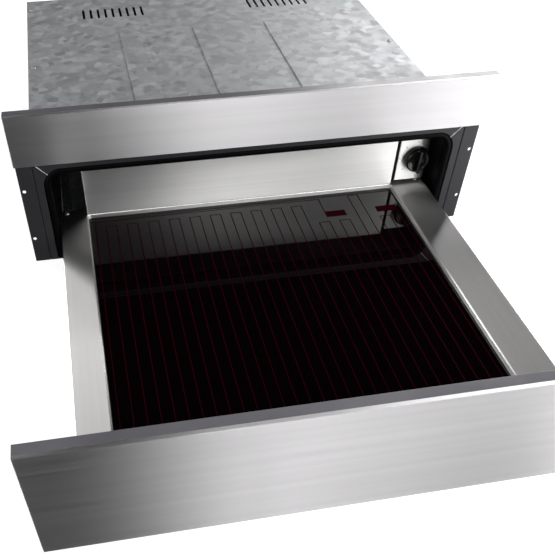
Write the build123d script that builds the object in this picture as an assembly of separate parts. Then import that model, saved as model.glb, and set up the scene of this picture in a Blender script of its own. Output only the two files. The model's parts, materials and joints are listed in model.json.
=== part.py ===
from build123d import *
from math import cos, radians, sin
import os

# Built-in warming drawer, shown pulled fully open. Millimetres.
# X runs to the right with 0 on the centre line, Y runs into the cabinet with 0 on the
# front plane of the mounting flanges, and Z runs up with 0 on the underside.
# Everything that slides is drawn closed and moved out by its share of the travel at the end.

# ---- Cabinet case ------------------------------------------------------------------------
case_height = 139.0
case_sheet = 1.2
bend = 1.6  # outer radius of a folded edge
flange_reach = 18.7  # of a mounting flange, out from the side wall
wiring_room = 53.2  # behind the closed drawer's deck
screw_to_edge = 4.75  # mounting hole centre to flange edge
screw_hole = 4.5
screw_low = 34.4  # lower mounting hole above the underside
screw_pitch = 67.3
cover_flange = 14.0  # inward flange that the top cover is screwed to
vent_long = 40.0
vent_wide = 4.0
vent_pitch = 12.0
bead_high = 1.5  # stiffening beads in the top cover

# ---- Front frame and the lip round the mouth ---------------------------------------------
frame_gap = 0.3  # frame to side wall
frame_face = 9.5  # visible width of the frame's face
frame_deep = 14.0
frame_return = 11.0  # depth of the fold round the mouth
mouth_radius = 24.0
lip_wide = 8.4
lip_back = 0.8  # the lip sits this far behind the frame's face
lip_deep = 12.0
lip_round = 3.6
weld_wide = 1.3  # bead along each mitre

# ---- Flat fronts: the drawer front and the fixed trim above it ---------------------------
front_width = 595.0
front_bottom = 3.0
front_over = 1.4  # top of the drawer front above the case
panel_thick = 16.5
skin_sheet = 0.8
skin_return = 4.5  # how far the steel skin folds back
tray_sheet = 0.8
core_gap = 0.2
closed_gap = 2.0  # back of a flat front to the flanges
trim_gap = 3.1  # between the two fronts
trim_height = 60.0
trim_bracket_wide = 46.0
trim_bracket_in = 92.0  # bracket centre from the panel's end
trim_bracket_rise = 44.0
trim_bracket_foot = 38.0
bracket_sheet = 1.5
buffer_radius = 4.0
buffer_gap = 0.3
buffer_in = 9.0
buffer_from_edge = 14.0

# ---- Drawer ------------------------------------------------------------------------------
mouth_clear = 1.7  # deck to lip on each side
skirt_clear = 1.4  # deck skirt to slide bracket
deck_sheet = 0.8
deck_skirt = 16.0
left_ledge = 37.2
right_ledge = 48.9
front_ledge = 43.6
recess_long = 440.0
recess_deep = 6.0  # ledge to glass
recess_bend = 2.4  # outer radius of the fold into the recess
recess_radius = 4.0
rear_ledge = 12.0
pan_bottom = 10.0
pan_sheet = 0.8
pan_flange = 11.5
glass_thick = 4.0
glass_gap = 0.8  # glass edge to recess wall, filled by the seal
glass_rest = 10.0  # width of the flange under the glass
seal_thick = 1.0
heater_thick = 2.0
heater_gap = 2.0  # heater to the flange under the glass
spreader_thick = 0.8
wool_gap = 1.6
cutout_radius = 8.0
cutout_high = 9.0
rivet_in = 9.4  # rivet centre from the deck's edge
rivet_from_rear = 5.0
rivet_head = 3.2
rivet_shank = 1.6
fit_gap = 0.05  # radial clearance of shanks and of the control shaft
back_panel_clear = 10.9  # top of the back panel to the lip
back_panel_sheet = 1.0
back_panel_behind = 0.7  # face behind the recess wall
back_panel_fold = 9.0
gusset_wide = 15.0
gusset_long = 40.0
gusset_high = 62.0

# ---- Printed heating track on the glass --------------------------------------------------
track_lines = 30
track_wide = 1.2
track_thick = 0.1
track_from_left = 7.5
track_from_right = 9.13
track_front_margin = 8.0
track_margin = 11.7  # top run behind the recess's rear wall
loop_margin = 23.3
short_loop_margin = 67.3
long_loop_margin = 10.0
pad_long = 28.0
pad_wide = 13.4
pad_margin = 43.3

# ---- Control at the rear right -----------------------------------------------------------
control_wide = 44.2
control_above = 4.7  # bottom of the control box above the deck
control_clear = 19.0  # top of the control box to the lip
control_deep = 53.0
control_sheet = 1.0
control_bend = 5.0
knob_in = 18.7  # knob centre from the deck's edge
knob_up = 2.4  # knob centre above the middle of the control box
knob_radius = 17.2
knob_disc = 11.0
knob_high = 17.0
grip_wide = 7.0
shaft_radius = 3.0
knob_gap = 0.3  # back of the knob to the plate
thermostat_wide = 27.0
thermostat_clear = 12.3  # above and below the thermostat in the control box
thermostat_deep = 26.0
collar_radius = 6.0
collar_long = 3.0
mark_from_knob = 4.2
mark_long = 2.6
mark_wide = 0.8
mark_thick = 0.1
mark_angles = [0, 180, 225, 270, 315]
tray_wide = 91.7
tray_high = 20.0
tray_end_gap = 9.2  # wiring tray to the case's rear wall when closed
tray_clear = 3.2
terminal_ways = 3
terminal_pitch = 13.0
terminal_deep = 18.0
terminal_high = 14.0
terminal_well = 2.2

# ---- Ball slides -------------------------------------------------------------------------
slide_over = 10.0  # slide longer than the glass recess
slide_held = 8.4  # slide length that full extension leaves over
slide_front = 3.0
slide_high = 30.0
slide_bottom = 2.5
slide_thick = 11.5
slide_to_wing = 3.5  # top of the slide to the pan's flange
slide_gauge = 1.2
slide_side_gap = 1.3  # flange of the fixed member to the pan
web_gap = 1.8  # fixed web to middle web
race = 3.2  # height of each ball race
ball_radius = 1.4
balls_per_row = 6
cage_long = 200.0
cage_sheet = 0.6
cage_gap = 0.3
slide_bracket_front = 20.0
slide_bracket_foot = 18.0

# ---- Push-to-open latch and mains entry --------------------------------------------------
latch_wide = 28.0
latch_high = 33.0
latch_long = 44.0
plunger_radius = 4.0
plunger_long = 40.0
plunger_stroke = 6.0
plunger_z = 24.0
plunger_gap = 0.3
spring_radius = 2.9
spring_wall = 0.7
terminal_box_wide = 82.0
terminal_box_high = 55.0
terminal_box_deep = 44.0
terminal_box_wall = 2.0
terminal_box_left = 46.0  # from the case's side wall
terminal_box_bottom = 50.0
gland_radius = 8.0
gland_bore = 4.0
gland_head = 11.0
gland_head_long = 6.0

# ---- Derived places ----------------------------------------------------------------------
front_half = front_width / 2
flange_half = front_half
case_width = front_width - 2 * flange_reach
wall_out = case_width / 2
wall_in = wall_out - case_sheet
cover_under = case_height - case_sheet
frame_half = wall_in - frame_gap
mouth_half = frame_half - frame_face
mouth_top = cover_under - frame_face
lip_half = mouth_half - lip_wide
lip_top = mouth_top - lip_wide
panel_back = -closed_gap
panel_face = panel_back - panel_thick
front_top = case_height + front_over
trim_bottom = front_top + trim_gap
trim_top = trim_bottom + trim_height
deck_half = lip_half - mouth_clear
deck_under = slide_bottom + slide_high + slide_to_wing + pan_sheet
deck_top = deck_under + deck_sheet
recess_left = left_ledge - deck_half
recess_right = deck_half - right_ledge
recess_front = panel_back + front_ledge
recess_back = recess_front + recess_long
deck_back = recess_back + rear_ledge
glass_top = deck_top - recess_deep
glass_under = glass_top - glass_thick
rest_top = glass_under - seal_thick
rest_under = rest_top - deck_sheet
heater_under = glass_under - heater_thick
spreader_under = heater_under - spreader_thick
case_back = deck_back + wiring_room
case_depth = case_back + case_sheet
pan_half = deck_half - deck_sheet - skirt_clear - bracket_sheet - slide_thick
pan_floor = pan_bottom + pan_sheet
rivet_x = deck_half - rivet_in
rivet_y = deck_back - rivet_from_rear
back_face = recess_back + back_panel_behind
back_panel_top = lip_top - back_panel_clear
control_right = deck_half
control_left = control_right - control_wide
control_bottom = deck_top + control_above
control_top = lip_top - control_clear
knob_x = deck_half - knob_in
knob_z = (control_bottom + control_top) / 2 + knob_up
thermostat_high = control_top - control_bottom - 2 * thermostat_clear
control_back = back_face + control_deep
slide_z = slide_bottom + slide_high / 2
slide_long = recess_long + slide_over
travel = slide_long - slide_held
slide_in = pan_half + slide_side_gap
slide_out = pan_half + slide_thick
slide_mid = slide_front + slide_long / 2
tray_back = case_back - tray_end_gap
tray_left = pan_half - pan_sheet - tray_wide
latch_front = case_back - latch_long
plunger_tip = deck_back + plunger_gap

hair = 0.01  # how near an edge lies to the place it is looked for
pieces = {}


# ---- Helpers -----------------------------------------------------------------------------
def block(x0, x1, y0, y1, z0, z1):
    """A box between two corners."""
    return Pos((x0 + x1) / 2, (y0 + y1) / 2, (z0 + z1) / 2) * Box(x1 - x0, y1 - y0, z1 - z0)


def rounded_block(x0, x1, y0, y1, z0, z1, radius):
    """A box whose four upright edges are rounded."""
    outline = RectangleRounded(x1 - x0, y1 - y0, radius)
    return Pos((x0 + x1) / 2, (y0 + y1) / 2, z0) * extrude(outline, z1 - z0)


def rod_y(radius, y0, y1, x, z):
    """A cylinder along Y."""
    return Pos(x, (y0 + y1) / 2, z) * Cylinder(radius, y1 - y0, rotation=(90, 0, 0))


def rod_z(radius, z0, z1, x, y):
    """A cylinder along Z."""
    return Pos(x, y, (z0 + z1) / 2) * Cylinder(radius, z1 - z0)


def edges_at(shape, axis, place):
    """Edges whose middle lies at one place along an axis."""
    return shape.edges().filter_by_position(axis, place - hair, place + hair)


def arch(half, top, radius, y0, y1, bottom=case_sheet):
    """A block with its two top corners rounded, seen from the front."""
    outline = FilletPolyline((-half, bottom), (-half, top), (half, top), (half, bottom), radius=radius)
    face = make_face(outline + Line((half, bottom), (-half, bottom)))
    return Pos(0, y0, 0) * extrude(Plane.XZ * face, y0 - y1)


def folded(points, thick, radius, side):
    """The section of a folded sheet, given the line along one of its faces."""
    return make_face(offset(FilletPolyline(*points, radius=radius), thick, side=side))


def other_side(shape):
    """The same piece for the left side."""
    return mirror(shape, about=Plane.YZ)


def add(name, *shapes, out=0.0):
    """Keep a piece under its name, moved out by a share of the travel."""
    moved = [Pos(0, -travel * out, 0) * shape for shape in shapes]
    pieces[name] = [solid for shape in moved for solid in shape.solids()]


# ---- Cabinet case ------------------------------------------------------------------------
def vents(count, x, y, along_x):
    """A row of slots, drawn as cutters that reach through a flat sheet."""
    size = (vent_wide, vent_long) if along_x else (vent_long, vent_wide)
    start = -vent_pitch * (count - 1) / 2
    cutters = []
    for i in range(count):
        step = start + i * vent_pitch
        place = Pos(x + step, y) if along_x else Pos(x, y + step)
        cutters.append(place * SlotOverall(max(size), min(size), rotation=90 if along_x else 0))
    return cutters


def base_plate():
    plate = block(-wall_in, wall_in, 0, case_back, 0, case_sheet)
    for x in (-wall_in / 2, wall_in / 2):
        for slot in vents(8, x, case_back * 0.8, True):
            plate -= extrude(slot, case_sheet)
    return plate


def side_panel():
    section = folded([(flange_half, 0), (wall_in, 0), (wall_in, case_back)], case_sheet, bend, Side.RIGHT)
    panel = extrude(section, cover_under)
    panel += block(
        wall_in - cover_flange, wall_in, frame_deep + bend, case_back, cover_under - case_sheet, cover_under
    )
    for z in (screw_low, screw_low + screw_pitch):
        panel -= rod_y(screw_hole / 2, -1, case_sheet + 1, flange_half - screw_to_edge, z)
    for y in screw_rows():
        panel -= rod_z(rivet_shank + fit_gap, 0, case_height, wall_in - cover_flange / 2, y)
    return panel


def screw_rows():
    """Places of the cover screws along each side."""
    first = frame_deep * 3
    last = case_back - frame_deep * 3
    return [first, (first + last) / 2, last]


def rear_panel():
    panel = block(-wall_out, wall_out, case_back, case_depth, 0, cover_under)
    for x in (-wall_in * 0.25, wall_in * 0.25, wall_in * 0.7):
        for slot in vents(8, x, case_height * 0.5, True):
            panel -= Pos(0, case_depth, 0) * extrude(Plane.XZ * slot, case_sheet)
    return panel - rod_y(gland_radius + fit_gap, case_back, case_depth, gland_x, gland_z)


def top_cover():
    cover = block(-wall_out, wall_out, 0, case_depth, cover_under, case_height)
    for x in (-wall_in * 0.42, 0, wall_in * 0.42):
        long, wide = case_depth * 0.55, case_width * 0.07
        bead = Pos(x, case_depth * 0.45, 0) * extrude(SlotOverall(long, wide, rotation=90), bead_high)
        cover += Pos(0, 0, case_height) * bead
        under = Pos(x, case_depth * 0.45, 0) * extrude(
            SlotOverall(long - 2 * case_sheet, wide - 2 * case_sheet, rotation=90), bead_high
        )
        cover -= Pos(0, 0, cover_under) * under
    for x in (-wall_in * 0.5, wall_in * 0.5):
        for slot in vents(9, x, case_depth * 0.86, True):
            cover -= Pos(0, 0, cover_under) * extrude(slot, case_sheet)
    for x in (-1, 1):
        for y in screw_rows():
            cover -= rod_z(rivet_shank + fit_gap, 0, case_height, x * (wall_in - cover_flange / 2), y)
    return cover


def pan_head(x, y, z, head, shank, length):
    """A pan-head screw or rivet that points down from z."""
    dome = fillet(rod_z(head, z, z + head / 2, x, y).edges().group_by(Axis.Z)[-1], head / 3)
    return dome + rod_z(shank, z - length, z, x, y)


def cover_screws():
    places = [(side * (wall_in - cover_flange / 2), y) for side in (-1, 1) for y in screw_rows()]
    return [pan_head(x, y, case_height, rivet_head, rivet_shank, 3 * case_sheet) for x, y in places]


gland_x = -wall_in + terminal_box_left + terminal_box_wide / 2
gland_z = terminal_box_bottom + terminal_box_high / 2

add("base_plate", base_plate())
add("right_side_panel", side_panel())
add("left_side_panel", other_side(side_panel()))
add("rear_panel", rear_panel())
add("top_cover", top_cover())
add("cover_screws", *cover_screws())


# ---- Front frame: two stiles and a top rail, mitred --------------------------------------
def frame():
    shell = block(-frame_half, frame_half, 0, frame_deep, case_sheet, cover_under)
    inside = frame_half - case_sheet
    shell -= block(-inside, inside, case_sheet, frame_deep, 0, cover_under - case_sheet)
    grown = mouth_radius + case_sheet
    shell += arch(mouth_half + case_sheet, mouth_top + case_sheet, grown, 0, frame_return)
    shell -= arch(mouth_half, mouth_top, mouth_radius, 0, frame_return)
    front = edges_at(shell, Axis.Y, 0)
    front = front.filter_by(lambda edge: edge.center().Z > case_sheet + hair)
    return fillet(front, bend / 2)


def rail_region():
    """The wedge above the two 45 degree mitres."""
    drop = mouth_radius + frame_face * 2
    points = [
        (-frame_half - drop, cover_under + drop),
        (frame_half + drop, cover_under + drop),
        (frame_half - drop, cover_under - drop),
        (drop - frame_half, cover_under - drop),
    ]
    return Pos(0, -1, 0) * extrude(Plane.XZ * make_face(Polyline(*points, close=True)), -frame_deep - 2)


def mitre_weld():
    """A half-round bead laid on the face along the mitre."""
    inner = mouth_half - mouth_radius * (1 - sin(radians(45)))
    outer = frame_half - bend
    run = outer - inner
    rod = Rot(0, 45, 0) * Cylinder(weld_wide / 2, run * 2**0.5)
    rod = Pos(outer - run / 2, 0, cover_under - bend - run / 2) * rod
    return rod & block(0, frame_half, -weld_wide, 0, 0, cover_under)


def opening_lip():
    front = lip_back
    ring = arch(mouth_half, mouth_top, mouth_radius, front, front + lip_deep)
    ring -= arch(lip_half, lip_top, mouth_radius - lip_wide, front, front + lip_deep)
    edges = edges_at(ring, Axis.Y, front)
    edges = edges.filter_by(lambda edge: edge.center().Z > case_sheet + hair)
    return fillet(edges, lip_round)


whole_frame = frame()
stiles = sorted((whole_frame - rail_region()).solids(), key=lambda solid: solid.center().X)
add("frame_left_stile", stiles[0])
add("frame_right_stile", stiles[-1])
add("frame_top_rail", whole_frame & rail_region())
add("frame_mitre_welds", mitre_weld(), other_side(mitre_weld()))
add("opening_lip", opening_lip())


# ---- Flat fronts -------------------------------------------------------------------------
def front_skin(z0, z1):
    """Brushed steel face with its edges folded back."""
    skin = block(-front_half, front_half, panel_face, panel_face + skin_return, z0, z1)
    inside = front_half - skin_sheet
    skin -= block(
        -inside, inside, panel_face + skin_sheet, panel_face + skin_return, z0 + skin_sheet, z1 - skin_sheet
    )
    return fillet(edges_at(skin, Axis.Y, panel_face), skin_sheet * 0.9)


def front_tray(z0, z1):
    """Dark tray behind the skin, open to the front."""
    tray = block(-front_half, front_half, panel_face + skin_return, panel_back, z0, z1)
    inside = front_half - tray_sheet
    tray -= block(
        -inside, inside, panel_face + skin_return, panel_back - tray_sheet, z0 + tray_sheet, z1 - tray_sheet
    )
    return fillet(edges_at(tray, Axis.Y, panel_back), tray_sheet * 0.9)


def front_core(z0, z1):
    """Honeycomb core bonded between skin and tray."""
    edge = max(skin_sheet, tray_sheet) + core_gap
    half = front_half - edge
    return block(-half, half, panel_face + skin_sheet, panel_back - tray_sheet, z0 + edge, z1 - edge)


def trim_bracket(x):
    """Folded bracket that carries the trim on the top cover."""
    foot_front = closed_gap / 2
    joggle = trim_bottom + closed_gap
    points = [
        (panel_back, joggle + trim_bracket_rise),
        (panel_back, joggle + closed_gap),
        (foot_front, joggle - foot_front),
        (foot_front, case_height),
        (foot_front + trim_bracket_foot, case_height),
    ]
    section = folded(points, bracket_sheet, 0.6, Side.LEFT)
    strip = extrude(Plane.YZ * section, trim_bracket_wide / 2, both=True)
    web_y = foot_front + bracket_sheet
    corner = case_height + bracket_sheet
    rib = [
        (web_y, corner),
        (foot_front + trim_bracket_foot * 0.8, corner),
        (web_y, joggle - foot_front - bracket_sheet),
    ]
    web = extrude(Plane.YZ * make_face(Polyline(*rib, close=True)), bracket_sheet / 2, both=True)
    return Pos(x, 0, 0) * (strip + web)


def buffers():
    """Rubber discs on the back of the drawer front, opposite the flanges."""
    reach = closed_gap - buffer_gap
    rows = (front_bottom + buffer_from_edge, front_top - buffer_from_edge - 2 * buffer_radius)
    places = [(side * (front_half - buffer_in), z) for side in (-1, 1) for z in rows]
    return [rod_y(buffer_radius, panel_back, panel_back + reach, x, z) for x, z in places]


def front_screws():
    """Screws from inside the pan into the drawer front."""
    z = (pan_floor + rest_under) / 2
    places = [-pan_half * 0.8, -pan_half * 0.3, pan_half * 0.3, pan_half * 0.8]
    screws = []
    for x in places:
        head = rod_y(rivet_head, panel_back + pan_sheet, panel_back + 2 * pan_sheet, x, z)
        screws.append(head + rod_y(rivet_shank, panel_back - 6, panel_back + pan_sheet, x, z))
    return screws


def screw_holes():
    """Cutters for the shanks of the front screws."""
    z = (pan_floor + rest_under) / 2
    radius = rivet_shank + fit_gap
    places = [-pan_half * 0.8, -pan_half * 0.3, pan_half * 0.3, pan_half * 0.8]
    return [rod_y(radius, panel_back - 6 - fit_gap, panel_back + pan_sheet, x, z) for x in places]


def drilled(shape, cutters):
    for cutter in cutters:
        shape -= cutter
    return shape


bracket_x = front_half - trim_bracket_in
add("upper_trim_skin", front_skin(trim_bottom, trim_top))
add("upper_trim_tray", front_tray(trim_bottom, trim_top))
add("upper_trim_core", front_core(trim_bottom, trim_top))
add("upper_trim_bracket_left", trim_bracket(-bracket_x))
add("upper_trim_bracket_right", trim_bracket(bracket_x))
add("drawer_front_skin", front_skin(front_bottom, front_top), out=1)
add("drawer_front_tray", drilled(front_tray(front_bottom, front_top), screw_holes()), out=1)
add("drawer_front_core", drilled(front_core(front_bottom, front_top), screw_holes()), out=1)
add("drawer_front_buffers", *buffers(), out=1)
add("drawer_front_screws", *front_screws(), out=1)


def glass_plan(gap):
    """Corners of the recess, or of what follows its outline, moved in by a gap."""
    return recess_left + gap, recess_right - gap, recess_front + gap, recess_back - gap


# ---- Drawer pan, deck and back panel -----------------------------------------------------
def rivet_holes():
    """Cutters through the deck and the pan's flanges."""
    radius = rivet_shank + fit_gap
    return [rod_z(radius, deck_under - 2 * pan_sheet, deck_top, side * rivet_x, rivet_y) for side in (-1, 1)]


def drawer_pan():
    pan = block(-pan_half, pan_half, panel_back, deck_back, pan_bottom, deck_under)
    inside = pan_half - pan_sheet
    pan -= block(-inside, inside, panel_back + pan_sheet, deck_back - pan_sheet, pan_floor, deck_under)
    wing = pan_half + pan_flange
    for side in (-1, 1):
        edges = sorted((side * pan_half, side * wing))
        pan += block(edges[0], edges[1], panel_back, deck_back, deck_under - pan_sheet, deck_under)
    return drilled(pan, screw_holes() + rivet_holes())


def deck():
    sheet = block(-deck_half, deck_half, panel_back, deck_back, deck_under, deck_top)
    for side in (-1, 1):
        edges = sorted((side * deck_half, side * (deck_half - deck_sheet)))
        sheet += block(edges[0], edges[1], panel_back, deck_back, deck_top - deck_skirt, deck_top)
    sheet += rounded_block(*glass_plan(-deck_sheet), rest_under, deck_top, recess_radius + deck_sheet)
    sheet -= rounded_block(*glass_plan(0), rest_top, deck_top, recess_radius)
    sheet -= block(*glass_plan(glass_rest), rest_under, rest_top)
    top = edges_at(sheet, Axis.Z, deck_top)
    rim = top.filter_by(lambda edge: recess_left - 1 < edge.center().X < recess_right + 1)
    rim = rim.filter_by(lambda edge: recess_front - 1 < edge.center().Y < recess_back + 1)
    sheet = fillet(rim, recess_bend)
    under = edges_at(sheet, Axis.Z, deck_under)
    root = under.filter_by(lambda edge: recess_left - 5 < edge.center().X < recess_right + 5)
    root = root.filter_by(lambda edge: recess_front - 5 < edge.center().Y < recess_back + 5)
    sheet = fillet(root, recess_bend - deck_sheet)
    top = edges_at(sheet, Axis.Z, deck_top)
    outer = top.filter_by(lambda edge: abs(abs(edge.center().X) - deck_half) < hair)
    return drilled(fillet(outer, deck_sheet * 1.4), rivet_holes())


def deck_rivets():
    length = deck_sheet + 2 * pan_sheet
    return [
        pan_head(side * rivet_x, rivet_y, deck_top, rivet_head, rivet_shank, length) for side in (-1, 1)
    ]


def back_panel():
    """Upright panel behind the glass, with its edges folded back and a foot."""
    top = back_panel_top
    left, right = recess_left - back_panel_behind, recess_right + back_panel_behind
    back = back_face + back_panel_fold
    panel = block(left, right, back_face, back, deck_top, top)
    panel -= block(
        left + back_panel_sheet,
        right - back_panel_sheet,
        back_face + back_panel_sheet,
        back,
        deck_top + back_panel_sheet,
        top - back_panel_sheet,
    )
    edges = edges_at(panel, Axis.Y, back_face)
    edges = edges.filter_by(lambda edge: edge.center().Z > deck_top + hair)
    return fillet(edges, back_panel_sheet * 0.9)


def gusset():
    """Angle between the ledge and the back of the drawer front."""
    x1 = deck_half - bend
    x0 = x1 - gusset_wide
    foot = block(x0, x1, panel_back, panel_back + gusset_long, deck_top, deck_top + bracket_sheet)
    riser = block(x0, x1, panel_back, panel_back + bracket_sheet, deck_top, deck_top + gusset_high)
    points = [
        (panel_back, deck_top),
        (panel_back + gusset_long, deck_top),
        (panel_back + gusset_long, deck_top + 2 * bracket_sheet),
        (panel_back + 2 * bracket_sheet, deck_top + gusset_high),
        (panel_back, deck_top + gusset_high),
    ]
    web = extrude(Plane.YZ * make_face(Polyline(*points, close=True)), bracket_sheet)
    return foot + riser + Pos(x0, 0, 0) * web


add("drawer_pan", drawer_pan(), out=1)
add("drawer_deck", deck(), out=1)
add("deck_rivets", *deck_rivets(), out=1)
add("back_panel", back_panel(), out=1)
add("front_gusset_right", gusset(), out=1)
add("front_gusset_left", other_side(gusset()), out=1)


# ---- Heated glass ------------------------------------------------------------------------
def glass_seal():
    seal = rounded_block(*glass_plan(0), rest_top, glass_top - skin_sheet / 2, recess_radius)
    seal -= rounded_block(*glass_plan(glass_gap), glass_under, glass_top, recess_radius - glass_gap)
    return seal - block(*glass_plan(glass_rest), rest_top, glass_under)


def track_sketch():
    """One line from pad to pad, up and down the glass, as strips of one width."""
    left = recess_left + track_from_left
    pitch = (recess_right - track_from_right - left) / (track_lines - 1)
    xs = [left + i * pitch for i in range(track_lines)]
    front = recess_front + track_front_margin
    lead = recess_back - track_margin
    pad_mid = recess_back - pad_margin - pad_wide / 2
    short = track_lines - 9
    rears = [lead]
    for first in range(1, track_lines - 1, 2):
        margin = loop_margin if first < short else short_loop_margin
        if first == track_lines - 5:
            margin = long_loop_margin
        rears += [recess_back - margin] * 2
    rears.append(pad_mid)
    strips = []
    half = track_wide / 2

    def strip(x0, x1, y0, y1):
        strips.append(Pos((x0 + x1) / 2, (y0 + y1) / 2) * Rectangle(abs(x1 - x0), abs(y1 - y0)))

    for x, rear in zip(xs, rears):
        strip(x - half, x + half, front - half, rear + half)
    for i in range(0, track_lines - 1, 2):
        strip(xs[i], xs[i + 1], front - half, front + half)
    for i in range(1, track_lines - 1, 2):
        strip(xs[i], xs[i + 1], rears[i] - half, rears[i] + half)
    lead_x = xs[short + 1]
    strip(xs[0], lead_x + half, lead - half, lead + half)
    strip(lead_x - half, lead_x + half, pad_mid, lead)
    strip(lead_x - half, lead_x + pad_long, pad_mid - pad_wide / 2, pad_mid + pad_wide / 2)
    strip(xs[-1] - pad_long, xs[-1] + half, pad_mid - pad_wide / 2, pad_mid + pad_wide / 2)
    return Sketch() + strips


def wool_mat():
    """Insulation that carries the heater, with a pocket for the cut-out."""
    inside = pan_half - pan_sheet - wool_gap
    front = panel_back + pan_sheet + wool_gap
    mat = block(-inside, inside, front, deck_back - pan_sheet - wool_gap, pan_floor, spreader_under)
    return mat - rod_z(cutout_radius + wool_gap, pan_floor, spreader_under, cutout_x, cutout_y)


def thermal_cutout():
    """Disc cut-out with two ears, under the heat spreader."""
    can = rod_z(cutout_radius, spreader_under - cutout_high, spreader_under, cutout_x, cutout_y)
    base = rod_z(cutout_radius * 0.7, pan_floor + core_gap, spreader_under - cutout_high, cutout_x, cutout_y)
    return can + base


cutout_x = recess_right / 2
cutout_y = (recess_front + recess_back) / 2
heater_inset = glass_rest + heater_gap
glass = rounded_block(*glass_plan(glass_gap), glass_under, glass_top, recess_radius - glass_gap)
add("glass_plate", glass, out=1)
add("glass_seal", glass_seal(), out=1)
add("track_print", Pos(0, 0, glass_top) * extrude(track_sketch(), track_thick), out=1)
add("heater_mat", block(*glass_plan(heater_inset), heater_under, glass_under), out=1)
add("heat_spreader", block(*glass_plan(heater_inset), spreader_under, heater_under), out=1)
add("insulation_mat", wool_mat(), out=1)
add("thermal_cutout", thermal_cutout(), out=1)


# ---- Control box, thermostat and knob ----------------------------------------------------
def control_box():
    """Folded box with the visible control plate as its front, open at the back."""
    box = block(control_left, control_right, back_face, control_back, control_bottom, control_top)
    upright = edges_at(box, Axis.Y, back_face).filter_by(Axis.Z)
    box = fillet(upright.sort_by(Axis.X)[-1], control_bend)
    box = fillet(box.edges().filter_by(Axis.Z).group_by(Axis.Y)[0].sort_by(Axis.X)[0], control_sheet * 0.9)
    hollow = block(
        control_left + control_sheet,
        control_right - control_sheet,
        back_face + control_sheet,
        control_back,
        control_bottom + control_sheet,
        control_top - control_sheet,
    )
    upright = hollow.edges().filter_by(Axis.Z).group_by(Axis.Y)[0].sort_by(Axis.X)[-1]
    box -= fillet(upright, control_bend - control_sheet)
    return box - rod_y(shaft_radius + core_gap, back_face, back_face + control_sheet, knob_x, knob_z)


def control_cover():
    """Rear lid of the control box, with a hole for the leads."""
    lid_back = control_back + control_sheet
    lid = block(control_left, control_right, control_back, lid_back, control_bottom, control_top)
    hole_z = control_bottom + (control_top - control_bottom) / 4
    return lid - rod_y(gland_bore, control_back, lid_back, control_left + knob_radius, hole_z)


def wiring_tray():
    """Open tray behind the pan, with the spot-welded channel that carries the control box."""
    right = pan_half - pan_sheet
    front, back = deck_back + pan_sheet, tray_back - pan_sheet
    tray = block(tray_left, right, deck_back, tray_back, pan_bottom, pan_bottom + tray_high)
    tray -= block(tray_left + pan_sheet, right - pan_sheet, front, back, pan_floor, deck_top)
    x0, x1 = control_left, right - pan_sheet
    stand = block(x0, x1, deck_back, tray_back - pan_sheet, pan_floor, control_bottom)
    stand -= block(
        x0 + control_sheet,
        x1 - control_sheet,
        deck_back,
        tray_back,
        pan_floor + control_sheet,
        control_bottom - control_sheet,
    )
    return tray + stand


def terminal_block():
    """Screw terminal on the tray floor, with a well over each screw."""
    x0 = tray_left + tray_clear
    y0 = deck_back + tray_clear
    top = pan_floor + terminal_high
    body = block(x0, x0 + terminal_ways * terminal_pitch, y0, y0 + terminal_deep, pan_floor, top)
    for i in range(terminal_ways):
        x = x0 + (i + 0.5) * terminal_pitch
        body -= rod_z(terminal_well, top - terminal_deep / 2, top, x, y0 + terminal_deep / 2)
    return body


def thermostat_body():
    front = back_face + control_sheet
    collar = rod_y(collar_radius, front, front + collar_long, knob_x, knob_z)
    left = min(knob_x - thermostat_wide / 2, control_right - control_sheet - core_gap - thermostat_wide)
    body = block(
        left,
        left + thermostat_wide,
        front + collar_long,
        front + collar_long + thermostat_deep,
        knob_z - thermostat_high / 2,
        knob_z + thermostat_high / 2,
    )
    bore = rod_y(shaft_radius + fit_gap, front, shaft_back, knob_x, knob_z)
    return collar + body - bore


def knob():
    """Round disc with a raised grip bar across it."""
    base = back_face - knob_gap
    face = base - knob_disc
    disc = fillet(rod_y(knob_radius, face, base, knob_x, knob_z).edges().group_by(Axis.Y)[0], knob_disc * 0.3)
    bar = SlotOverall(knob_radius * 2 - knob_disc * 0.2, grip_wide, rotation=90)
    bar = Pos(knob_x, face + knob_disc / 2, knob_z) * extrude(Plane.XZ * bar, knob_high - knob_disc / 2)
    bar = fillet(bar.edges().group_by(Axis.Y)[0], grip_wide * 0.2)
    return disc + bar - rod_y(shaft_radius + fit_gap, shaft_front, base, knob_x, knob_z)


def dial_marks():
    """Plain ticks printed round the knob, 0 degrees at the top and turning clockwise."""
    radius = knob_radius + mark_from_knob + mark_long / 2
    marks = []
    for angle in mark_angles:
        tick = Pos(0, 0, radius) * Box(mark_wide, mark_thick, mark_long)
        marks.append(Pos(knob_x, back_face - mark_thick / 2, knob_z) * Rot(0, angle, 0) * tick)
    return marks


shaft_front = back_face - knob_gap - knob_high + knob_disc / 2
shaft_back = back_face + control_sheet + collar_long + thermostat_deep * 0.7
add("control_box", control_box(), out=1)
add("control_box_cover", control_cover(), out=1)
add("wiring_tray", wiring_tray(), out=1)
add("terminal_block", terminal_block(), out=1)
add("thermostat_body", thermostat_body(), out=1)
add("thermostat_shaft", rod_y(shaft_radius, shaft_front, shaft_back, knob_x, knob_z), out=1)
add("knob", knob(), out=1)
add("dial_marks", *dial_marks(), out=1)


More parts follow.
